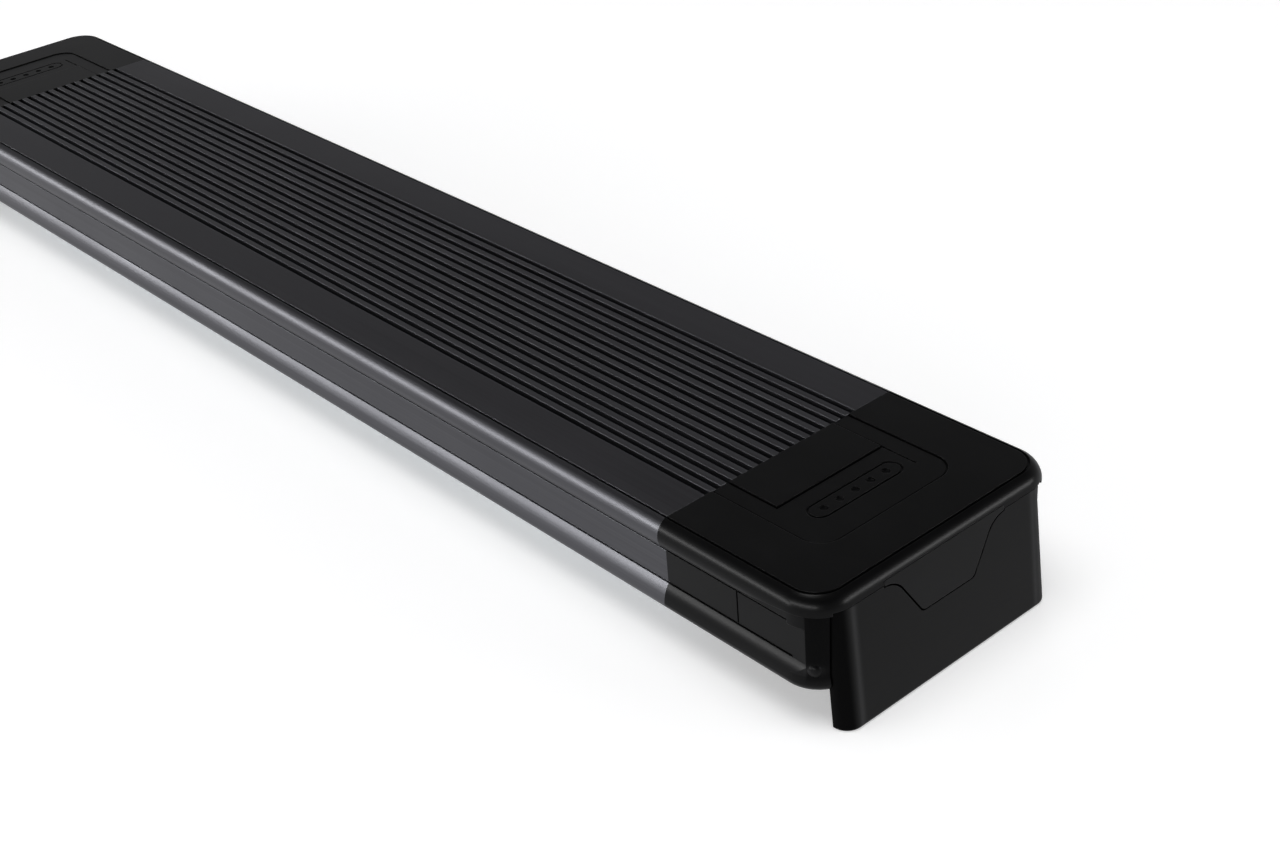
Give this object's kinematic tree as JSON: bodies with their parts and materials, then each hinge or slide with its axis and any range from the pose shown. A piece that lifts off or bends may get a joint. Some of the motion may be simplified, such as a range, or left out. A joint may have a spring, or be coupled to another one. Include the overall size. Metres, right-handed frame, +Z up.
{
  "type": "led aquarium light",
  "caption": "Slim black LED bar light for an aquarium, with a ribbed aluminium housing, moulded end caps and end plates that slide out on arms to rest on the tank rim.",
  "frame": {"origin": "centre of the lamp in plan, at the level of the end plates' feet", "axes": "+X along the lamp towards the end without the power socket, +Y across its width, +Z up; the light shines towards -Z"},
  "size_m": [0.3722, 0.0624, 0.027],
  "materials": {
    "black_anodised": "fine satin black anodising with drawing lines",
    "cap_plastic": "satin to gloss moulded black",
    "bracket_plastic": "satin moulded black",
    "seal_rubber": "soft matt black",
    "screw_steel": "plain zinc plated",
    "arm_steel": "brushed stainless",
    "white_board": "white solder mask",
    "pad_grey": "soft grey",
    "led_body": "matt white",
    "phosphor": "smooth, lit",
    "led_window": "clear",
    "die_blue": "lit",
    "die_red": "lit",
    "die_green": "lit",
    "resistor_black": "matt",
    "clear_acrylic": "clear, slightly blue",
    "green_board": "green solder mask",
    "ferrite": "matt grey",
    "capacitor_sleeve": "shrink sleeve",
    "socket_plastic": "matt",
    "contact_brass": "plated",
    "wire_red": "smooth insulation",
    "wire_black": "smooth insulation"
  },
  "bodies": {
    "lamp": {"housing_extrusion": "black_anodised", "near_end_cap": "cap_plastic", "far_end_cap": "cap_plastic", "near_cap_seal": "seal_rubber", "far_cap_seal": "seal_rubber", "near_cap_screws": "screw_steel", "far_cap_screws": "screw_steel", "near_friction_pads": "seal_rubber", "far_friction_pads": "seal_rubber", "led_board": "white_board", "thermal_pad": "pad_grey", "white_led_packages": "led_body", "white_led_phosphors": "phosphor", "rgb_led_packages": "led_body", "rgb_led_windows": "led_window", "blue_led_dies": "die_blue", "red_led_dies": "die_red", "green_led_dies": "die_green", "board_resistors": "resistor_black", "cover_lens": "clear_acrylic", "lens_seals": "seal_rubber", "driver_board": "green_board", "driver_coil": "ferrite", "driver_capacitors": "capacitor_sleeve", "driver_chips": "resistor_black", "power_socket_body": "socket_plastic", "power_socket_pin": "contact_brass", "power_socket_contact": "contact_brass", "positive_wire": "wire_red", "negative_wire": "wire_black"},
    "near_bracket": {"near_end_plate": "bracket_plastic", "near_slide_arms": "arm_steel", "near_arm_screws": "screw_steel", "near_rim_pad": "seal_rubber"},
    "far_bracket": {"far_end_plate": "bracket_plastic", "far_slide_arms": "arm_steel", "far_arm_screws": "screw_steel", "far_rim_pad": "seal_rubber"}
  },
  "joints": [
    {"name": "near_bracket_slide", "type": "slide", "parent": "lamp", "child": "near_bracket", "axis": [1, 0, 0], "range_m": [0, 0.09]},
    {"name": "far_bracket_slide", "type": "slide", "parent": "lamp", "child": "far_bracket", "axis": [-1, 0, 0], "range_m": [0, 0.09]}
  ]
}
